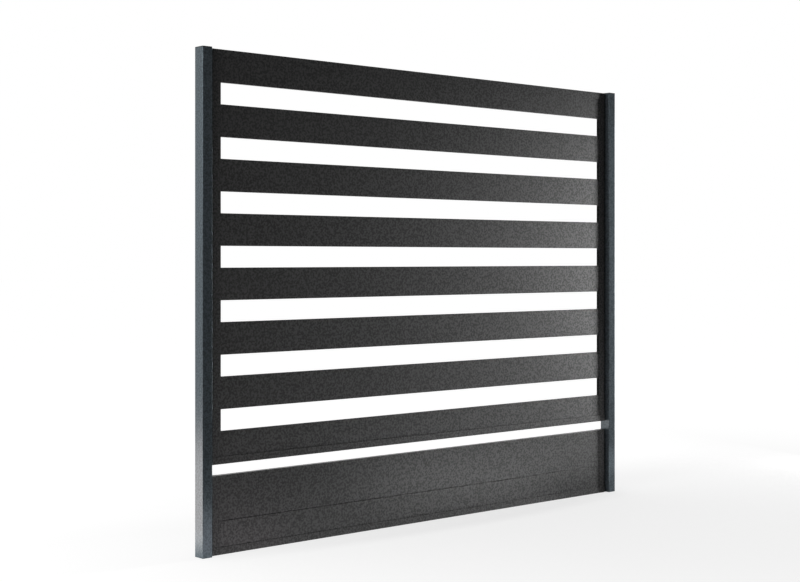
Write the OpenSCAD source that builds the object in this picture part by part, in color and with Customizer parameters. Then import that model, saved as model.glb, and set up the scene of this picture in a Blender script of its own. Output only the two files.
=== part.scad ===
// Slatted fence bay: two tube posts, a framed panel of eight horizontal
// slats, and a separate, thicker two-board kickboard under it.
// The origin is the middle of the left post's foot, on the ground.
// +X runs along the bay to the right post, -Y is the front, +Z is up.

/* [Bay] */
// Distance between the middles of the two posts
bay_pitch = 2250; // [1500:10:3000]
// How far the posts stand above the panel's top edge
post_over = 3; // [0:1:100]

/* [Posts] */
// Width of the post tube, along the bay
post_w = 42; // [30:1:80]
// Depth of the post tube, front to back
post_d = 52; // [40:1:80]
// Wall of the post tube
post_t = 2; // [1.5:0.1:4]
// Outer corner radius of the post tube
post_r = 2.5; // [1:0.1:5]
// Thickness of the cap's top plate
cap_t = 3; // [2:0.5:8]
// Depth of the cap's plug inside the tube
plug_h = 12; // [6:1:30]
// Thickness of the plate that closes the post's foot
foot_t = 6; // [3:0.5:12]
// Clearance round the cap's plug and the foot plate
plug_clear = 0.3; // [0.1:0.1:0.8]

/* [Slats] */
// Number of slats
slat_count = 8; // [3:1:12]
// Height of a slat
slat_h = 120; // [60:1:180]
// Open gap between two slats
slat_gap = 80; // [20:1:120]
// Thickness of a slat, front to back
slat_t = 12; // [8:0.5:24]
// Wall of a hollow slat and board
slat_wall = 1.2; // [0.8:0.1:2]
// Outer corner radius of a slat and board
slat_r = 1.5; // [0.5:0.1:3]
// Clearance between a slat's end and the channel's web
slat_end_gap = 2; // [0.5:0.5:5]

/* [Side channels] */
// Width of a side channel, along the bay
channel_w = 37; // [20:1:60]
// Sheet thickness of a side channel
channel_t = 1.5; // [1:0.1:3]
// Outer corner radius of a side channel
channel_r = 2; // [1:0.1:3]
// Clearance between a board's face and the channel's flange
channel_clear = 0.25; // [0.1:0.05:0.8]
// Open gap between a post and a side channel
post_gap = 12; // [5:1:40]

/* [Rails] */
// Height of a cap rail's flanges, over its web
rail_h = 27.5; // [15:0.5:50]
// Sheet thickness of a cap rail
rail_t = 1.2; // [1:0.1:3]
// Outer corner radius of a cap rail
rail_r = 1.6; // [1:0.1:3]
// Clearance between a cap rail's flange and the side channel
rail_clear = 0.25; // [0.1:0.05:0.8]

/* [Kickboard] */
// Height of the kickboard, from the ground
kick_h = 291; // [200:1:500]
// Thickness of a kickboard board, front to back
kick_t = 24; // [8:0.5:32]
// Open gap between the kickboard and the panel
kick_gap = 41; // [10:1:80]
// Height of the lower board, without its tongue
kick_lower_h = 122; // [80:1:150]
// Open line between the two boards
seam_gap = 2; // [0.5:0.5:5]
// Thickness of the tongue between the boards
tongue_t = 17; // [3:0.5:24]
// Length of the tongue
tongue_l = 9; // [5:1:15]
// Clearance round the tongue in its groove
tongue_clear = 0.3; // [0.1:0.1:0.8]

/* [Fixing angles] */
// Sheet thickness of a fixing angle
angle_t = 2; // [1.5:0.5:5]
// How far a fixing angle reaches over the side channel's back
angle_reach = 28; // [15:1:40]
// How far a fixing angle reaches back along the post
angle_leg = 15; // [8:1:24]
// Inner bend radius of a fixing angle
angle_r = 2; // [1:0.5:5]
// Clearance of the notches round the cap rails
notch_clear = 0.8; // [0.3:0.1:3]

/* [Hidden] */
$fn = 48;
coat = "#2b2d2f";
post_coat = "#3c4247";
plastic = "#1d1e1f";
overcut = 1;
frame_w = bay_pitch - post_w - 2 * post_gap;
frame_d = slat_t + 2 * (channel_clear + channel_t);
kick_d = kick_t + 2 * (channel_clear + channel_t);
kick_y = (kick_t - slat_t) / 2;
frame_x = post_w / 2 + post_gap;
slats_h = slat_count * slat_h + (slat_count - 1) * slat_gap;
panel_z = kick_h + kick_gap;
panel_h = slats_h + 2 * rail_t;
post_h = panel_z + panel_h + post_over;
board_l = frame_w - 2 * (channel_t + slat_end_gap);
board_x = frame_x + channel_t + slat_end_gap;
kick_upper_z = rail_t + kick_lower_h + seam_gap;
kick_upper_h = kick_h - kick_upper_z;

// A filled rectangle with round corners, centred, true arcs
module round_rect(w, d, r) {
    square([w - 2 * r, d], center = true);
    square([w, d - 2 * r], center = true);
    for (sx = [-1, 1], sy = [-1, 1])
        translate([sx * (w / 2 - r), sy * (d / 2 - r)]) circle(r);
}

// The right-hand twin of a left-hand piece
module to_right() {
    translate([bay_pitch, 0, 0]) mirror([1, 0, 0]) children();
}

// Post: a rectangular tube from the ground to its cap
module post_tube() {
    color(post_coat)
    linear_extrude(post_h - cap_t)
    difference() {
        round_rect(post_w, post_d, post_r);
        square([post_w - 2 * post_t, post_d - 2 * post_t], center = true);
    }
}

// Cap: a flat plate on the tube's end with a plug inside the tube
module post_cap() {
    inset = 2 * (post_t + plug_clear);
    color(plastic)
    translate([0, 0, post_h - cap_t]) {
        linear_extrude(cap_t) round_rect(post_w, post_d, post_r);
        translate([0, 0, -plug_h])
            linear_extrude(plug_h) square([post_w - inset, post_d - inset], center = true);
    }
}

// Foot: a plate inside the tube, flush with its lower end
module post_foot() {
    inset = 2 * (post_t + plug_clear);
    color(post_coat)
    linear_extrude(foot_t) square([post_w - inset, post_d - inset], center = true);
}

// Side channel of depth d with its middle at y: an upright U, open towards
// the boards
module side_channel(z, h, d, y) {
    color(coat)
    translate([frame_x + channel_w / 2, y, z])
    linear_extrude(h)
    difference() {
        union() {
            round_rect(channel_w, d, channel_r);
            translate([channel_r / 2, 0])
                square([channel_w - channel_r, d], center = true);
        }
        translate([channel_t, 0])
            square([channel_w, d - 2 * channel_t], center = true);
    }
}

// Cap rail over side channels of depth d with their middle at y: a U along
// the bay; z is its web's outer face, and up is 1 where the flanges rise
// from the web, -1 where they hang
module cap_rail(z, up, d, y) {
    depth = rail_h / 2;
    rail_d = d + 2 * (rail_clear + rail_t);
    color(coat)
    translate([frame_x, y, z])
    rotate([90, 0, 90])
    linear_extrude(frame_w)
    translate([0, up * depth])
    difference() {
        union() {
            round_rect(rail_d, rail_h, rail_r);
            translate([0, up * rail_r / 2])
                square([rail_d, rail_h - rail_r], center = true);
        }
        translate([0, up * rail_t])
            square([rail_d - 2 * rail_t, rail_h], center = true);
    }
}

// Board section of thickness t with its middle at y, lying in the channels,
// from its lower edge upwards
module board(z, h, t, y, tongue = 0, groove = 0) {
    groove_w = tongue_t + 2 * tongue_clear;
    groove_h = tongue_l - seam_gap + tongue_clear;
    floor_h = groove > 0 ? groove_h + slat_wall : slat_wall;
    color(coat)
    translate([board_x, y, z])
    rotate([90, 0, 90])
    linear_extrude(board_l)
    difference() {
        union() {
            translate([0, h / 2]) round_rect(t, h, slat_r);
            if (tongue > 0)
                translate([-tongue_t / 2, h - slat_wall])
                    square([tongue_t, tongue_l + slat_wall]);
        }
        translate([-t / 2 + slat_wall, floor_h])
            square([t - 2 * slat_wall, h - floor_h - slat_wall]);
        if (tongue > 0)
            translate([-tongue_t / 2 + slat_wall, h - 2 * slat_wall])
                square([tongue_t - 2 * slat_wall, tongue_l + slat_wall]);
        if (groove > 0)
            translate([-groove_w / 2, -overcut])
                square([groove_w, groove_h + overcut]);
    }
}

// Slat n, counted from the top
module slat(n) {
    board(panel_z + rail_t + (slat_count - n) * (slat_h + slat_gap), slat_h, slat_t, 0);
}

// Fixing angle between the left post's inner face and a side channel's back
// at y, from z up over h, with its channel leg notched round the cap rails;
// low and high are the heights of the notches at its ends
module fixing_angle(y, z, h, low, high) {
    bend = angle_r + angle_t;
    reach = post_gap + angle_reach;
    notch_x = post_gap - notch_clear;
    notch = [reach - notch_x + overcut, angle_t + 2 * overcut];
    color(post_coat)
    translate([post_w / 2, y, z])
    difference() {
        linear_extrude(h) {
            translate([0, bend]) square([angle_t, angle_leg - bend]);
            translate([bend, 0]) square([reach - bend, angle_t]);
            difference() {
                square([bend, bend]);
                translate([bend, bend]) circle(angle_r);
                difference() {
                    translate([-overcut, -overcut]) square([bend + overcut, bend + overcut]);
                    translate([bend, bend]) circle(bend);
                }
            }
        }
        if (low > 0)
            translate([notch_x, -overcut, -overcut])
                linear_extrude(low + notch_clear + overcut) square(notch);
        if (high > 0)
            translate([notch_x, -overcut, h - high - notch_clear])
                linear_extrude(high + notch_clear + overcut) square(notch);
    }
}

module left_post() { post_tube(); }
module right_post() { to_right() post_tube(); }
module left_post_cap() { post_cap(); }
module right_post_cap() { to_right() post_cap(); }
module left_post_foot() { post_foot(); }
module right_post_foot() { to_right() post_foot(); }
module left_stile() { side_channel(panel_z + rail_t, slats_h, frame_d, 0); }
module right_stile() { to_right() left_stile(); }
module top_rail() { cap_rail(panel_z + panel_h, -1, frame_d, 0); }
module bottom_rail() { cap_rail(panel_z, 1, frame_d, 0); }
module kickboard_upper_board() {
    board(kick_upper_z, kick_upper_h, kick_t, kick_y, groove = 1);
}
module kickboard_lower_board() {
    board(rail_t, kick_lower_h, kick_t, kick_y, tongue = 1);
}
module kickboard_left_channel() { side_channel(rail_t, kick_h - rail_t, kick_d, kick_y); }
module kickboard_right_channel() { to_right() kickboard_left_channel(); }
module kickboard_rail() { cap_rail(0, 1, kick_d, kick_y); }
module left_panel_angle() {
    fixing_angle(frame_d / 2, panel_z, panel_h, rail_h, rail_h);
}
module right_panel_angle() { to_right() left_panel_angle(); }
// The kickboard's angle is the same one turned round: its post leg points
// forwards, into the slit beside the deeper channel
module left_kick_angle() {
    back = kick_y + kick_d / 2 + angle_t;
    translate([0, 2 * back, 0]) mirror([0, 1, 0]) fixing_angle(back, 0, kick_h, rail_h, 0);
}
module right_kick_angle() { to_right() left_kick_angle(); }

left_post();
right_post();
left_post_cap();
right_post_cap();
left_post_foot();
right_post_foot();
left_stile();
right_stile();
top_rail();
bottom_rail();
for (n = [1:slat_count])
    slat(n);
kickboard_upper_board();
kickboard_lower_board();
kickboard_left_channel();
kickboard_right_channel();
kickboard_rail();
left_panel_angle();
right_panel_angle();
left_kick_angle();
right_kick_angle();
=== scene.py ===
import math

import bmesh
import bpy
from mathutils import Matrix, Vector


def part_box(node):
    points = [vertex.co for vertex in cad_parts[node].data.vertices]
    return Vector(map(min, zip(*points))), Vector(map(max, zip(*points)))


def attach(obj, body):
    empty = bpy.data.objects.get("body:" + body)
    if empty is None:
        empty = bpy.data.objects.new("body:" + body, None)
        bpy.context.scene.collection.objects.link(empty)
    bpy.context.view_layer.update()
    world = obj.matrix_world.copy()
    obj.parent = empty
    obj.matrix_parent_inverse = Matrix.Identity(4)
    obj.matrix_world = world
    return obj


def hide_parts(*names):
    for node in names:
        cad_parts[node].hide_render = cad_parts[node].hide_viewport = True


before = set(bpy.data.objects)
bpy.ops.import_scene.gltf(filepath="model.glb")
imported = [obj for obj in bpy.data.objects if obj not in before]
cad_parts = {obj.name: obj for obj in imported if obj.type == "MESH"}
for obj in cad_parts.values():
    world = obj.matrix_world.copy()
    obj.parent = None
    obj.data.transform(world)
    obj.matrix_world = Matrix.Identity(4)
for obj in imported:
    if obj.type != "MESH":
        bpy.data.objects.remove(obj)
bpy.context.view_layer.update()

# ---- Posts -------------------------------------------------------------------------------
# Each post is a steel tube of 2 mm wall with rolled corners, galvanised and coated in a satin
# blue-grey powder. It stands straight on the ground and carries the panel by angles.

MM = 0.001
POST_WALL = 2.0 * MM
POST_CORNER = 2.5 * MM
POST_ROUNDING = 6
POST_END_EDGE = 0.15 * MM
POST_COLOUR = (0.1040, 0.1240, 0.1400)
POST_SPREAD = 0.28
POST_CLOUD = 350.0 * MM
POST_SPECK = 7.0 * MM
POST_PEEL = 3.5 * MM
POST_GRAIN = 1.2 * MM
POST_RELIEF = 0.06 * MM
POST_ROUGHNESS = 0.16
POST_GLOSS_TINT = (0.72, 0.92, 1.0)
SPECK_EDGE = (0.35, 0.65)
SHARP_ABOVE = math.radians(35)


class Socket:
    """One socket of a material's nodes; sums and products of sockets add their Math nodes."""

    def __init__(self, tree, socket=None):
        self.tree = tree
        self.socket = socket

    def node(self, kind, settings=None, values=None, output=0):
        """A node of that kind: its settings first, then the values or links of its sockets."""
        made = self.tree.nodes.new(kind)
        for name, value in (settings or {}).items():
            setattr(made, name, value)
        for name, value in (values or {}).items():
            if isinstance(value, Socket):
                self.tree.links.new(value.socket, made.inputs[name])
            else:
                made.inputs[name].default_value = value
        return Socket(self.tree, made.outputs[output])

    def math(self, operation, first, second):
        return self.node("ShaderNodeMath", {"operation": operation}, {0: first, 1: second})

    def vector(self, operation, first, second=(0, 0, 0), output=0):
        """Vector Math; its output 1 is the number of a length or a dot product."""
        return self.node("ShaderNodeVectorMath", {"operation": operation}, {0: first, 1: second}, output)

    def __add__(self, other):
        return self.math("ADD", self, other)

    def __radd__(self, other):
        return self.math("ADD", other, self)

    def __sub__(self, other):
        return self.math("SUBTRACT", self, other)

    def __rsub__(self, other):
        return self.math("SUBTRACT", other, self)

    def __mul__(self, other):
        return self.math("MULTIPLY", self, other)

    def __rmul__(self, other):
        return self.math("MULTIPLY", other, self)

    def __rtruediv__(self, other):
        return self.math("DIVIDE", other, self)

    def between(self, low, high):
        """0 below low, 1 above high, with a smooth step between them."""
        return self.node("ShaderNodeMapRange", {"interpolation_type": "SMOOTHSTEP"},
                         {"Value": self, "From Min": low, "From Max": high})

    def part(self, axis):
        """The X, Y or Z of a vector, axis 0 to 2."""
        return self.node("ShaderNodeSeparateXYZ", {}, {0: self}, axis)

    def noise(self, grain, detail=2.0):
        """Noise about 0.5 over a place, its grains that many metres across."""
        return self.node("ShaderNodeTexNoise", {},
                         {"Vector": self, "Scale": 1.0 / grain, "Detail": detail})

    def blend(self, first, second, factor):
        """A colour between two others."""
        return self.node("ShaderNodeMix", {"data_type": "RGBA"},
                         {0: factor, 6: first, 7: second}, 2)

    def ray(self, kind):
        """1 for a Camera, Glossy or Transmission ray, and 0 for every other ray."""
        return self.node("ShaderNodeLightPath", output="Is " + kind + " Ray")

    def surface(self, shader, kind="ShaderNodeOutputMaterial"):
        """Puts a finished shader on the surface of the material, or of the world."""
        end = self.tree.nodes.new(kind)
        self.tree.links.new(shader.socket, end.inputs["Surface"])


def opaque(colour, times=1.0):
    return (*(times * c for c in colour), 1.0)


def new_nodes(owner):
    """Empties the nodes of a material or a world and gives a socket to build new ones from."""
    owner.use_nodes = True
    owner.node_tree.nodes.clear()
    return Socket(owner.node_tree)


def post_material():
    material = bpy.data.materials.new("post_coat")
    nodes = new_nodes(material)
    place = nodes.node("ShaderNodeTexCoord", output="Object")
    cloud = place.noise(POST_CLOUD)
    peel = place.noise(POST_PEEL, 1.0)
    grain = place.noise(POST_GRAIN)
    speck = place.noise(POST_SPECK, 1.0).between(*SPECK_EDGE)
    colour = nodes.blend(opaque(POST_COLOUR, 1 - POST_SPREAD), opaque(POST_COLOUR, 1 + POST_SPREAD),
                         speck * 0.8 + cloud * 0.2)
    relief = nodes.node("ShaderNodeBump", {}, {"Strength": 0.5, "Distance": POST_RELIEF,
                                               "Height": peel * 0.6 + grain * 0.4})
    roughness = POST_ROUGHNESS + peel * 0.06 + speck * 0.04
    nodes.surface(nodes.node("ShaderNodeBsdfPrincipled", {}, {
        "Base Color": colour, "Roughness": roughness, "Normal": relief, "Metallic": 0.35,
        "Specular IOR Level": 0.43, "Specular Tint": opaque(POST_GLOSS_TINT)}))
    return material


post_coat = post_material()


def finish_piece(bm, name, material, replaced=(), edge=0.0):
    """Writes a bmesh out as a piece of the fence that stands for the CAD nodes replaced."""
    bmesh.ops.remove_doubles(bm, verts=bm.verts, dist=0.005 * MM)
    bmesh.ops.recalc_face_normals(bm, faces=bm.faces)
    mesh = bpy.data.meshes.new(name)
    bm.to_mesh(mesh)
    bm.free()
    mesh.shade_smooth()
    mesh.set_sharp_from_angle(angle=SHARP_ABOVE)
    mesh.materials.append(material)
    piece = bpy.data.objects.new(name, mesh)
    bpy.context.scene.collection.objects.link(piece)
    if edge:
        rounding = piece.modifiers.new("edge", "BEVEL")
        rounding.width = edge
        rounding.segments = 2
        rounding.limit_method = "ANGLE"
        rounding.angle_limit = SHARP_ABOVE
    shading = piece.modifiers.new("facing", "WEIGHTED_NORMAL")
    shading.keep_sharp = True
    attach(piece, "root")
    if replaced:
        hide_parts(*replaced)


def along(bm, axis):
    """The edges that run along that axis, 0 to 2 for X to Z."""
    return [e for e in bm.edges
            if abs((e.verts[1].co - e.verts[0].co).normalized()[axis]) > 0.99]


def facing(bm, axis, side):
    """The faces that look along that axis, side 1 or -1."""
    bm.normal_update()
    return [f for f in bm.faces if f.normal[axis] * side > 0.99]


def block(bm, low, high):
    """A box between two corners."""
    middle = Matrix.Translation((low + high) / 2)
    bmesh.ops.create_cube(bm, size=1.0, matrix=middle @ Matrix.Diagonal((*(high - low), 1.0)))


def soften(bm, edges, width, segments):
    """Rounds edges off over that width."""
    bmesh.ops.bevel(bm, geom=edges, offset=width, offset_type="OFFSET", segments=segments,
                    profile=0.5, affect="EDGES", material=-1)


def thicken(bm, sheet):
    """Gives a skin its thickness, inwards."""
    bmesh.ops.solidify(bm, geom=bm.faces[:], thickness=sheet)


def tube(low, high, axis, corner, wall, segments):
    """A rectangular tube along one axis, with round corners and open ends."""
    bm = bmesh.new()
    block(bm, low, high)
    ends = facing(bm, axis, 1) + facing(bm, axis, -1)
    bmesh.ops.delete(bm, geom=ends, context="FACES_ONLY")
    soften(bm, along(bm, axis), corner, segments)
    bmesh.ops.recalc_face_normals(bm, faces=bm.faces)
    thicken(bm, wall)
    return bm


for side in ("left", "right"):
    low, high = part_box(side + "_post")
    finish_piece(tube(low, high, 2, POST_CORNER, POST_WALL, POST_ROUNDING), side + "_post_tube",
                 post_coat, [side + "_post"], POST_END_EDGE)
    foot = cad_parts[side + "_post_foot"]
    foot.data.materials.clear()
    foot.data.materials.append(post_coat)

# ---- Post caps ---------------------------------------------------------------------------
# A moulded black plastic cap is pushed into the top of each tube. Its flat plate ends flush with
# the tube's sides, its upper edge is softened, and its plug stands inside the tube.

CAP_PLUG_CLEAR = 0.3 * MM
CAP_EDGE = 0.8 * MM
CAP_COLOUR = (0.022, 0.023, 0.025)
CAP_SCUFFED = 2.2
CAP_GRAIN = 0.8 * MM
CAP_SCUFF = 6.0 * MM
CAP_SCUFF_EDGE = (0.55, 0.8)
CAP_RELIEF = 0.05 * MM
CAP_ROUGHNESS = 0.5


def cap_material():
    material = bpy.data.materials.new("cap_plastic")
    nodes = new_nodes(material)
    place = nodes.node("ShaderNodeTexCoord", output="Object")
    grain = place.noise(CAP_GRAIN, 3.0)
    scuff = place.noise(CAP_SCUFF, 5.0).between(*CAP_SCUFF_EDGE)
    colour = nodes.blend(opaque(CAP_COLOUR), opaque(CAP_COLOUR, CAP_SCUFFED), scuff * 0.5)
    relief = nodes.node("ShaderNodeBump", {}, {"Strength": 0.6, "Distance": CAP_RELIEF, "Height": grain})
    nodes.surface(nodes.node("ShaderNodeBsdfPrincipled", {}, {
        "Base Color": colour, "Roughness": CAP_ROUGHNESS + scuff * 0.15, "Normal": relief,
        "Specular IOR Level": 0.4}))
    return material


cap_plastic = cap_material()


def draw_out(bm, faces, rim, step):
    """Leaves a rim round a flat side and draws what is inside it out, or in, along Z."""
    bmesh.ops.inset_region(bm, faces=faces, thickness=rim)
    drawn = bmesh.ops.extrude_face_region(bm, geom=faces)
    bmesh.ops.delete(bm, geom=faces, context="FACES_ONLY")
    moved = [v for v in drawn["geom"] if isinstance(v, bmesh.types.BMVert)]
    bmesh.ops.translate(bm, vec=(0, 0, step), verts=moved)


for side in ("left", "right"):
    low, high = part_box(side + "_post_cap")
    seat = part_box(side + "_post")[1].z
    bm = bmesh.new()
    block(bm, Vector((low.x, low.y, seat)), high)
    soften(bm, along(bm, 2), POST_CORNER, POST_ROUNDING)
    soften(bm, facing(bm, 2, 1)[0].edges[:], CAP_EDGE, 3)
    draw_out(bm, facing(bm, 2, -1), POST_WALL + CAP_PLUG_CLEAR, low.z - seat)
    finish_piece(bm, side + "_cap", cap_plastic, [side + "_post_cap"])

# ---- Side channels -----------------------------------------------------------------------
# The slats' ends and the kickboard's ends stand in upright channels, folded from 1.5 mm sheet
# into a U that is open towards the boards. They are coated like the slats, in a matt anthracite
# powder with a fine gritty texture.

CHANNEL_SHEET = 1.5 * MM
CHANNEL_FOLD = 2.0 * MM
SHEET_EDGE = 0.25 * MM
PANEL_COLOUR = (0.0360, 0.0360, 0.0363)
PANEL_SPREAD = 0.44
PANEL_CLOUD = 300.0 * MM
PANEL_SPECK = 8.0 * MM
PANEL_GRIT = 0.9 * MM
PANEL_RELIEF = 0.12 * MM
PANEL_ROUGHNESS = 0.54
PANEL_GLOSS = 0.54


def panel_material(name, roughness):
    material = bpy.data.materials.new(name)
    nodes = new_nodes(material)
    place = nodes.node("ShaderNodeTexCoord", output="Object")
    cloud = place.noise(PANEL_CLOUD)
    speck = place.noise(PANEL_SPECK, 1.0).between(*SPECK_EDGE)
    grit = place.noise(PANEL_GRIT)
    colour = nodes.blend(opaque(PANEL_COLOUR, 1 - PANEL_SPREAD), opaque(PANEL_COLOUR, 1 + PANEL_SPREAD),
                         speck * 0.75 + cloud * 0.25)
    relief = nodes.node("ShaderNodeBump", {}, {
        "Strength": 1.0, "Distance": PANEL_RELIEF, "Height": grit * 0.5 + speck * 0.5})
    nodes.surface(nodes.node("ShaderNodeBsdfPrincipled", {}, {
        "Base Color": colour, "Roughness": roughness + grit * 0.02, "Normal": relief,
        "Specular IOR Level": 0.35, "Coat Weight": speck * PANEL_GLOSS, "Coat Roughness": roughness}))
    return material


panel_coat = panel_material("panel_coat", PANEL_ROUGHNESS)


def folded(corners, axis, length, fold):
    """Sheet without thickness, folded along a run of corners and drawn out along one axis."""
    bm = bmesh.new()
    row = [bm.verts.new(c) for c in corners]
    run = [bm.edges.new(pair) for pair in zip(row, row[1:])]
    drawn = bmesh.ops.extrude_edge_only(bm, edges=run)
    ends = [v for v in drawn["geom"] if isinstance(v, bmesh.types.BMVert)]
    step = Vector((0, 0, 0))
    step[axis] = length
    bmesh.ops.translate(bm, vec=step, verts=ends)
    soften(bm, [e for e in along(bm, axis) if len(e.link_faces) == 2], fold, 5)
    bm.normal_update()
    inside = sum((Vector(c) for c in corners), Vector()) / len(corners) + step / 2
    web = max(bm.faces, key=lambda f: f.calc_area())
    if web.normal.dot(web.calc_center_median() - inside) < 0:
        bmesh.ops.reverse_faces(bm, faces=bm.faces[:])
    return bm


for node in ("left_stile", "right_stile", "kickboard_left_channel", "kickboard_right_channel"):
    low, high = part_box(node)
    web, free = (low.x, high.x) if "left" in node else (high.x, low.x)
    corners = [(free, low.y, low.z), (web, low.y, low.z), (web, high.y, low.z), (free, high.y, low.z)]
    bm = folded(corners, 2, high.z - low.z, CHANNEL_FOLD)
    thicken(bm, CHANNEL_SHEET)
    finish_piece(bm, node + "_sheet", panel_coat, [node], SHEET_EDGE)

# ---- Cap rails ---------------------------------------------------------------------------
# A shallow U of 1.2 mm sheet closes the panel's top and bottom edge and the kickboard's foot.
# It is pushed over the boards and the side channels, so its flanges stand just proud of them.

RAIL_SHEET = 1.2 * MM
RAIL_FOLD = 1.6 * MM

for node, up in (("top_rail", -1), ("bottom_rail", 1), ("kickboard_rail", 1)):
    low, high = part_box(node)
    web, free = (low.z, high.z) if up > 0 else (high.z, low.z)
    corners = [(low.x, low.y, free), (low.x, low.y, web), (low.x, high.y, web), (low.x, high.y, free)]
    bm = folded(corners, 0, high.x - low.x, RAIL_FOLD)
    thicken(bm, RAIL_SHEET)
    finish_piece(bm, node + "_sheet", panel_coat, [node], SHEET_EDGE)

# ---- Slats -------------------------------------------------------------------------------
# Eight flat hollow profiles, 120 by 12 mm with softened long edges, coated before assembly.
# Their open ends are hidden in the side channels, where screws hold them.

SLAT_WALL = 1.2 * MM
SLAT_CORNER = 1.5 * MM
SLAT_ROUNDING = 5

slats = sorted(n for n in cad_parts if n.startswith("slat_"))
for node in slats:
    low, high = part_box(node)
    finish_piece(tube(low, high, 0, SLAT_CORNER, SLAT_WALL, SLAT_ROUNDING), node + "_profile",
                 panel_coat, [node])

# ---- Kickboard boards --------------------------------------------------------------------
# Two hollow profiles, twice as thick as the slats, lie on edge, one on the other. A tongue on the
# lower one stands in a groove of the upper one, and a fine open line stays between them. Their
# coat is the panel's, laid a little smoother.

GROOVE_LIP = 3.2 * MM
TONGUE_LIP = 3.5 * MM
GROOVE_SLACK = 0.3 * MM
SEAM = 2.0 * MM
BOARD_ROUGHNESS = 0.42

board_coat = panel_material("board_coat", BOARD_ROUGHNESS)
lower_low, lower_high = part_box("kickboard_lower_board")
upper_low, upper_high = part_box("kickboard_upper_board")
shoulder = upper_low.z - SEAM
groove_depth = lower_high.z - upper_low.z + GROOVE_SLACK

for node, low, high, side, lip, step in (
        ("kickboard_upper_board", upper_low, upper_high, -1, GROOVE_LIP, groove_depth),
        ("kickboard_lower_board", lower_low, Vector((lower_high.x, lower_high.y, shoulder)), 1,
         TONGUE_LIP, lower_high.z - shoulder)):
    bm = bmesh.new()
    block(bm, low, high)
    soften(bm, along(bm, 0), SLAT_CORNER, SLAT_ROUNDING)
    draw_out(bm, facing(bm, 2, side), lip - SLAT_CORNER, step)
    finish_piece(bm, node + "_profile", board_coat, [node])

# ---- Fixing angles -----------------------------------------------------------------------
# An angle of 2 mm sheet stands in each corner between a post and the back of a side channel, and
# closes the open slit there. Its leg on the channel is notched round the cap rails. Behind the
# thicker kickboard it is turned round, so that its post leg points forwards.

ANGLE_SHEET = 2.0 * MM
ANGLE_FOLD = 4.0 * MM
ANGLE_EDGE = 0.3 * MM
NOTCH_CLEAR = 0.8 * MM


def cut(bm, axis, place):
    """Scores every face across an axis at one place."""
    at = Vector((0, 0, 0))
    across = Vector((0, 0, 0))
    at[axis] = place
    across[axis] = 1
    bmesh.ops.bisect_plane(bm, geom=bm.verts[:] + bm.edges[:] + bm.faces[:], dist=0.001 * MM,
                           plane_co=at, plane_no=across)


def notch(bm, clear_of):
    """Cuts away what stands in front of a cap rail."""
    low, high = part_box(clear_of)
    low -= Vector((1, 1, 1)) * NOTCH_CLEAR
    high += Vector((1, 1, 1)) * NOTCH_CLEAR
    for axis in (0, 2):
        cut(bm, axis, low[axis])
        cut(bm, axis, high[axis])
    gone = [f for f in bm.faces
            if all(low[i] < f.calc_center_median()[i] < high[i] for i in (0, 2))]
    bmesh.ops.delete(bm, geom=gone, context="FACES")


for side in ("left", "right"):
    for unit, rails in (("panel", ("top_rail", "bottom_rail")), ("kick", ("kickboard_rail",))):
        node = side + "_" + unit + "_angle"
        low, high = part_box(node)
        heel, toe = (low.x, high.x) if side == "left" else (high.x, low.x)
        plate, tip = (low.y, high.y) if unit == "panel" else (high.y, low.y)
        corners = [(heel, tip, low.z), (heel, plate, low.z), (toe, plate, low.z)]
        bm = folded(corners, 2, high.z - low.z, ANGLE_FOLD)
        for rail in rails:
            notch(bm, rail)
        thicken(bm, ANGLE_SHEET)
        finish_piece(bm, node + "_sheet", post_coat, [node], ANGLE_EDGE)

# ---- Screws and rivets -------------------------------------------------------------------
# Coated self-drilling screws with a hexagon head on a washer join each angle to its post, and
# through the channel's back flange to the slats' and boards' ends. Rivets hold the cap rails.

WASHER_RADIUS = 4.6 * MM
WASHER_TAPER = 0.4 * MM
WASHER_HEIGHT = 0.9 * MM
WASHER_EDGE = 0.2 * MM
HEAD_RADIUS = 3.4 * MM
HEAD_HEIGHT = 2.2 * MM
HEAD_EDGE = 0.4 * MM
HEAD_SUNK = 0.1 * MM
RIVET_RADIUS = 3.6 * MM
RIVET_TAPER = 0.8
RIVET_HEIGHT = 1.3 * MM
RIVET_EDGE = 0.9 * MM
RIVET_INSET = 18.0 * MM
ROUND_SIDES = 24
BOARD_SCREW_PAIR = 64.0 * MM
BOARD_SCREW_REACH = 27.0 * MM


def stud(bm, foot, axis, side, radius, tip, height, sides, softness):
    """A short round or six-sided boss that stands on a face and tapers a little to its tip."""
    turn = Vector((0, 0, 1)).rotation_difference(Vector((side * (axis == 0), side * (axis == 1), 0)))
    place = Matrix.Translation(foot) @ turn.to_matrix().to_4x4()
    made = bmesh.ops.create_cone(bm, cap_ends=True, segments=sides, radius1=radius, radius2=tip,
                                 depth=height, matrix=place @ Matrix.Translation((0, 0, height / 2)))
    top = place @ Vector((0, 0, height))
    rim = [e for e in {e for v in made["verts"] for e in v.link_edges}
           if all(abs((v.co - top)[axis]) < 0.01 * MM for v in e.verts)]
    soften(bm, rim, softness, 3)


def screw(bm, foot, axis, side):
    """A hexagon head on its washer, looking along that axis."""
    stud(bm, foot, axis, side, WASHER_RADIUS, WASHER_RADIUS - WASHER_TAPER, WASHER_HEIGHT,
         ROUND_SIDES, WASHER_EDGE)
    on_washer = Vector(foot)
    on_washer[axis] += side * (WASHER_HEIGHT - HEAD_SUNK)
    stud(bm, on_washer, axis, side, HEAD_RADIUS, HEAD_RADIUS, HEAD_HEIGHT, 6, HEAD_EDGE)


# Of each unit: its boards, the screws in an angle's post leg, and how far in the lowest and the
# highest of them stand.
UNITS = (
    ("panel", slats, 6, 60 * MM, 60 * MM),
    ("kick", ("kickboard_upper_board", "kickboard_lower_board"), 2, 48 * MM, 52 * MM))

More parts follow.
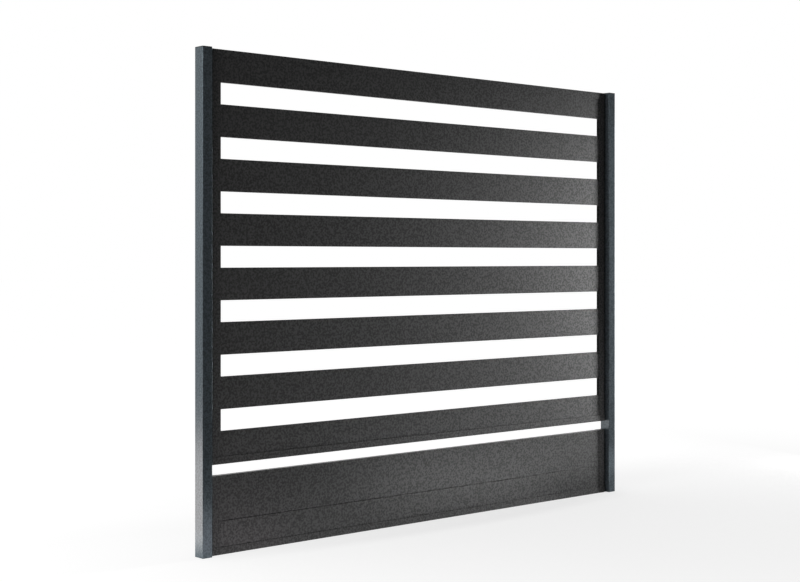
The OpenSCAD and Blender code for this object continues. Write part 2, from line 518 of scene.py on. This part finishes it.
screws = bmesh.new()
for side, inward in (("left", 1), ("right", -1)):
    for unit, boards, post_screws, first_in, last_in in UNITS:
        low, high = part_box(side + "_" + unit + "_angle")
        heel = low.x if side == "left" else high.x
        fold, plate_back = (ANGLE_FOLD, low.y + ANGLE_SHEET) if unit == "panel" else (-ANGLE_FOLD, high.y)
        leg_middle = (low.y + high.y + fold) / 2
        step = (high.z - low.z - first_in - last_in) / (post_screws - 1)
        for n in range(post_screws):
            on_leg = (heel + inward * ANGLE_SHEET, leg_middle, low.z + first_in + n * step)
            screw(screws, Vector(on_leg), 0, inward)
        for board in boards:
            bottom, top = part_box(board)
            for above in (-BOARD_SCREW_PAIR / 2, BOARD_SCREW_PAIR / 2):
                on_plate = (heel + inward * BOARD_SCREW_REACH, plate_back, (bottom.z + top.z) / 2 + above)
                screw(screws, Vector(on_plate), 1, 1)
finish_piece(screws, "fixing_screws", post_coat)

rivets = bmesh.new()
for rail in ("top_rail", "bottom_rail", "kickboard_rail"):
    low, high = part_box(rail)
    for x in (low.x + RIVET_INSET, high.x - RIVET_INSET):
        stud(rivets, Vector((x, high.y, (low.z + high.z) / 2)), 1, 1, RIVET_RADIUS,
             RIVET_RADIUS * RIVET_TAPER, RIVET_HEIGHT, ROUND_SIDES, RIVET_EDGE)
finish_piece(rivets, "rail_rivets", panel_coat)

# ---- Soft boxes --------------------------------------------------------------------------
# Two flat lamps light the fence. A tall narrow one stands beyond the right post and grazes the
# slats from there, and a broad one hangs high on the left and lights the left post's side.

RIGHT_PLACE = Vector((3.80, -0.47, 1.00))
RIGHT_AIM = Vector((2.20, 0.0, 0.95))
RIGHT_SIZE = (0.25, 1.75)
RIGHT_RADIANCE = 36.8
LEFT_PLACE = Vector((-4.6, -1.6, 2.5))
LEFT_AIM = Vector((0.0, 0.0, 0.9))
LEFT_SIZE = (2.6, 2.0)
LEFT_RADIANCE = 6.75


def soft_box(name, place, aim, size, radiance):
    """A flat lamp of that size at a place, turned towards a point; 1 is as bright as white."""
    lamp = bpy.data.lights.new(name, "AREA")
    lamp.shape = "RECTANGLE"
    lamp.size, lamp.size_y = size
    lamp.energy = radiance * math.pi * size[0] * size[1]
    holder = bpy.data.objects.new(name, lamp)
    bpy.context.scene.collection.objects.link(holder)
    holder.location = place
    holder.rotation_euler = (aim - place).to_track_quat("-Z", "Y").to_euler()
    holder.visible_camera = False


soft_box("right_box", RIGHT_PLACE, RIGHT_AIM, RIGHT_SIZE, RIGHT_RADIANCE)
soft_box("left_box", LEFT_PLACE, LEFT_AIM, LEFT_SIZE, LEFT_RADIANCE)

# ---- Floor -------------------------------------------------------------------------------
# A pale matt floor takes the fence's soft shadow. The camera sees it glow, with painted shade in
# that glow: lower round a spot in front of the fence, a little lower beside the fence, and lower
# near the right soft box by as much as that one lights it. A painted sheen and five painted patches
# of light on it show only where the coats mirror them, as painted reflections.

FLOOR_RADIUS = 60.0
FLOOR_GREY = 0.35
GLOW_NEAR = 0.78
GLOW_FAR = 0.92
GLOW_MIDDLE = (1.81, -0.84, 0)
GLOW_REACH = (0.26, 4.02)
BESIDE_MIDDLE = (1.15, 0, 0)
BESIDE_HALF = (1.23, 0.227, 1)
BESIDE_REACH = (0.64, 1.14)
BESIDE_PAINTED_SHADE = 0.056
SPILL_SHARE = 0.97
SPILL_BACK = (0.144, 1.644)
SHEEN_NEAR = 0.65
SHEEN_FAR = 0.85
SHEEN_MIDDLE = (1.2, -0.9, 0)
SHEEN_REACH = (1.0, 3.5)
SHEEN_BACK = (-0.3, 0.3)
PATCH_REACH = (0.85, 1.15)
# Of each painted patch of light, seen only as a painted reflection: its middle, its half lengths,
# how bright it is and its tint. The first shows in the left post's side, the second and third in
# the kickboard, the fourth in the right post's front and the fifth in the left post's front.
PAINTED_LIGHT_PATCHES = (
    ((-1.30, 1.25, 0.0), (1.37, 1.95, 1.0), 2.7, (1.26, 1.0, 0.90)),
    ((0.72, -0.10, 0.0), (1.22, 0.85, 1.0), 1.0, (1.0, 1.0, 1.0)),
    ((1.96, -0.60, 0.0), (0.78, 0.23, 1.0), 4.7, (1.0, 1.0, 1.0)),
    ((3.05, -0.70, 0.0), (0.40, 0.38, 1.0), 0.6, (1.0, 1.0, 1.0)),
    ((0.24, -0.40, 0.0), (0.32, 0.38, 1.0), 0.3, (1.3, 1.0, 1.15)))

floor_mesh = bpy.data.meshes.new("floor")
bm = bmesh.new()
bmesh.ops.create_circle(bm, cap_ends=True, segments=96, radius=FLOOR_RADIUS)
bm.to_mesh(floor_mesh)
bm.free()
floor = bpy.data.objects.new("floor", floor_mesh)
bpy.context.scene.collection.objects.link(floor)

floor_paint = bpy.data.materials.new("floor_paint")
nodes = new_nodes(floor_paint)
place = nodes.node("ShaderNodeTexCoord", output="Object")
camera_ray = nodes.ray("Camera")
mirrored = nodes.ray("Glossy")


def far_from(centre, half=(1, 1, 1)):
    """Distance on the floor from a point, in half lengths along X and Y."""
    offset = nodes.vector("SUBTRACT", place, centre)
    offset = nodes.vector("DIVIDE", offset, half)
    return nodes.vector("LENGTH", offset, output=1)


def box_spill():
    """What the right soft box, an upright strip, adds to the floor's tone round its foot."""
    in_plan = Vector((1, 1, 0))
    offset = nodes.vector("SUBTRACT", place, RIGHT_PLACE * in_plan)
    beam = ((RIGHT_AIM - RIGHT_PLACE) * in_plan).normalized()
    square = nodes.vector("DOT_PRODUCT", offset, offset, output=1)
    ahead = nodes.vector("DOT_PRODUCT", offset, beam, output=1)
    width, height = RIGHT_SIZE
    low_end = (RIGHT_PLACE.z - height / 2) ** 2 + (width / 2) ** 2
    high_end = (RIGHT_PLACE.z + height / 2) ** 2
    lit = nodes.math("MAXIMUM", ahead, 0.0) * (1.0 / (square + low_end) - 1.0 / (square + high_end))
    return lit * (FLOOR_GREY / math.pi * width * RIGHT_RADIANCE / 2)


front_to_back = place.part(1)
# Painted shade: the glow is lower round a spot just in front of the fence and rises to its far value some
# metres off.
glow = GLOW_NEAR + far_from(GLOW_MIDDLE).between(*GLOW_REACH) * (GLOW_FAR - GLOW_NEAR)
# Painted contact shadow: the glow is a little lower in a strip along the fence.
glow = glow - (1.0 - far_from(BESIDE_MIDDLE, BESIDE_HALF).between(*BESIDE_REACH)) * BESIDE_PAINTED_SHADE
# Painted shade: the light the right soft box throws on the floor in front of the fence is taken back out
# of the glow.
glow = glow - box_spill() * SPILL_SHARE * (1.0 - front_to_back.between(*SPILL_BACK))
# Painted reflection: behind the fence the floor glows for the coats' gloss alone and lights nothing.
sheen = SHEEN_NEAR + far_from(SHEEN_MIDDLE).between(*SHEEN_REACH) * (SHEEN_FAR - SHEEN_NEAR)
sheen = sheen * front_to_back.between(*SHEEN_BACK)
shader = nodes.node("ShaderNodeBsdfDiffuse", {}, {"Color": opaque((FLOOR_GREY, FLOOR_GREY, FLOOR_GREY))})
light = nodes.node("ShaderNodeEmission", {}, {"Color": camera_ray * glow + mirrored * sheen})
shader = nodes.node("ShaderNodeAddShader", {}, {0: shader, 1: light})
# Painted reflections: patches of glow on the floor that only the coats' gloss sees.
for middle, half, strength, tint in PAINTED_LIGHT_PATCHES:
    patch = mirrored * (1.0 - far_from(middle, half).between(*PATCH_REACH))
    lit = nodes.blend(opaque((0.0, 0.0, 0.0)), opaque(tint), patch)
    light = nodes.node("ShaderNodeEmission", {}, {"Color": lit, "Strength": strength})
    shader = nodes.node("ShaderNodeAddShader", {}, {0: shader, 1: light})
nodes.surface(shader)
floor_mesh.materials.append(floor_paint)

# ---- Room --------------------------------------------------------------------------------
# The room is dim in front of the fence and has a lighter backdrop behind it. The camera sees the
# whole room white, and the coats' gloss and clear things see the backdrop white too.

ROOM = 0.06
BACKDROP = 0.45
BACKDROP_FROM = (-0.1, 0.3)

world = bpy.data.worlds.new("studio")
bpy.context.scene.world = world
nodes = new_nodes(world)
behind = nodes.node("ShaderNodeTexCoord", output="Generated").part(1).between(*BACKDROP_FROM)
white = nodes.ray("Camera") + (nodes.ray("Glossy") + nodes.ray("Transmission")) * behind
strength = nodes.node("ShaderNodeMix", {"data_type": "FLOAT"},
                      {0: white, 2: ROOM + behind * (BACKDROP - ROOM), 3: 1.0})
sky = nodes.node("ShaderNodeBackground", {}, {"Color": opaque((1, 1, 1)), "Strength": strength})
nodes.surface(sky, "ShaderNodeOutputWorld")

# ---- Camera ------------------------------------------------------------------------------
# It stands on the left, a little over a metre up, and looks level, so every upright stays
# upright. The lens is shifted down a little to take in the ground.

CAMERA_PLACE = (-2.9478, -4.4118, 1.0894)
CAMERA_TURN = 41.49
LENS_SHIFT = -0.0415
LENS_LENGTH = 65.0025
SENSOR_WIDTH = 36.0

lens = bpy.data.cameras.new("camera")
lens.sensor_width = SENSOR_WIDTH
lens.lens = LENS_LENGTH
lens.shift_y = LENS_SHIFT
lens.clip_start = 0.05
lens.clip_end = 200.0
camera = bpy.data.objects.new("camera", lens)
camera.location = CAMERA_PLACE
camera.rotation_euler = (math.radians(90), 0, math.radians(-CAMERA_TURN))
bpy.context.scene.collection.objects.link(camera)
bpy.context.scene.camera = camera
bpy.context.scene.view_settings.view_transform = "Standard"
